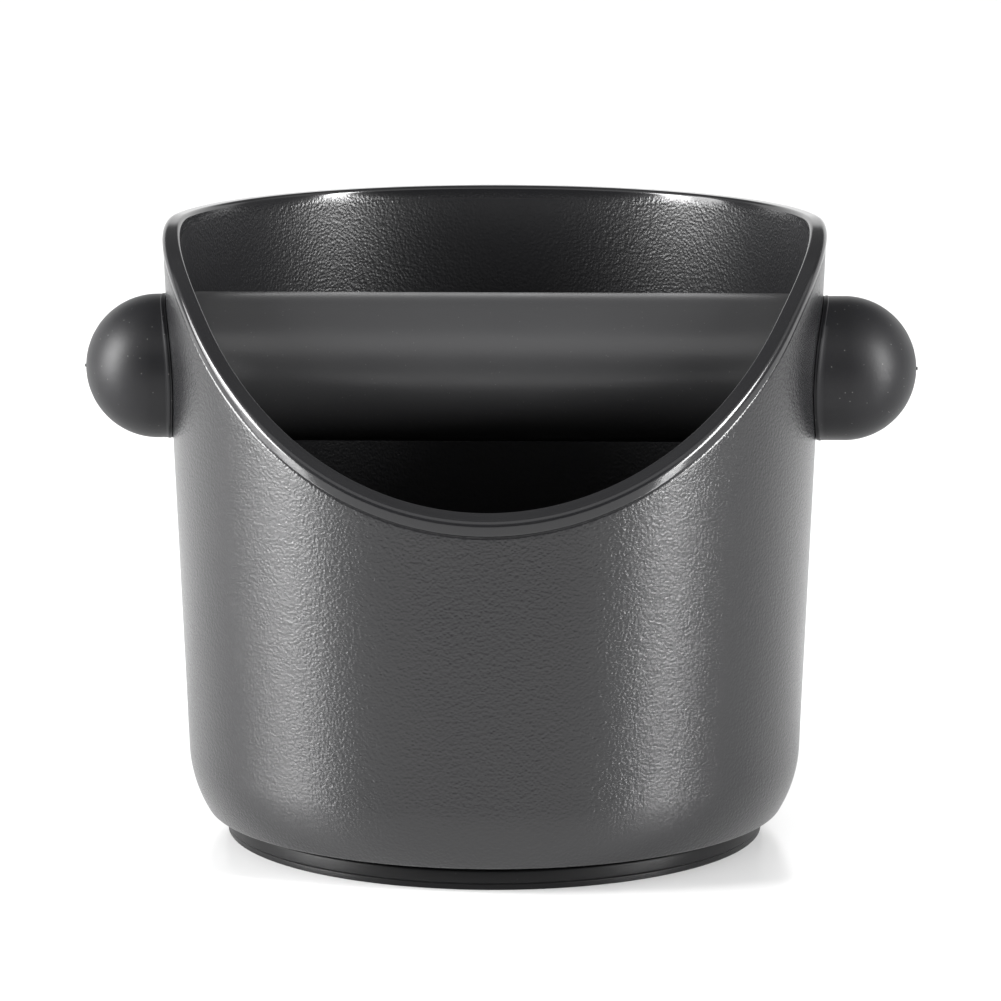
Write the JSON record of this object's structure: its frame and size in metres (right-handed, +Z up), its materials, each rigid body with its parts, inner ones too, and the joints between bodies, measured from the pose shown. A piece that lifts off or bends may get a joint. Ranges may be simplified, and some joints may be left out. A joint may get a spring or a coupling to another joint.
{
  "type": "espresso knock box",
  "caption": "Tapered round bucket with a slanted front mouth and a rubber-covered knock bar held by two rubber end knobs, on a non-slip base ring.",
  "frame": {"origin": "on the bucket's axis, at the surface that the base ring rests on", "axes": "+Z up; +X along the knock bar towards the longer knob; the low side of the mouth faces -Y"},
  "size_m": [0.1456, 0.1139, 0.1077],
  "materials": {
    "bucket_abs": "fine spark-eroded grain, satin lip",
    "ring_rubber": "satin",
    "sleeve_rubber": "matt",
    "knob_rubber": "satin",
    "core_steel": "drawn",
    "stem_nylon": "moulded"
  },
  "bodies": {
    "tub": {"bucket": "bucket_abs", "base_ring": "ring_rubber"},
    "core": {"core_tube": "core_steel"},
    "sleeve": {"bar_sleeve": "sleeve_rubber"},
    "left_knob": {"cap_left": "knob_rubber", "stem_left": "stem_nylon"},
    "right_knob": {"cap_right": "knob_rubber", "stem_right": "stem_nylon"}
  },
  "joints": [
    {"name": "bar_withdraw", "type": "slide", "parent": "tub", "child": "core", "axis": [-1, 0, 0], "range_m": [0, 0.125]},
    {"name": "cap_left_pull", "type": "slide", "parent": "core", "child": "left_knob", "axis": [-1, 0, 0], "range_m": [0, 0.02]},
    {"name": "cap_right_pull", "type": "slide", "parent": "tub", "child": "right_knob", "axis": [1, 0, 0], "range_m": [0, 0.02]},
    {"name": "sleeve_turn", "type": "hinge", "parent": "tub", "child": "sleeve", "pos_m": [0, 0, 0.082], "axis": [1, 0, 0], "continuous": true}
  ]
}
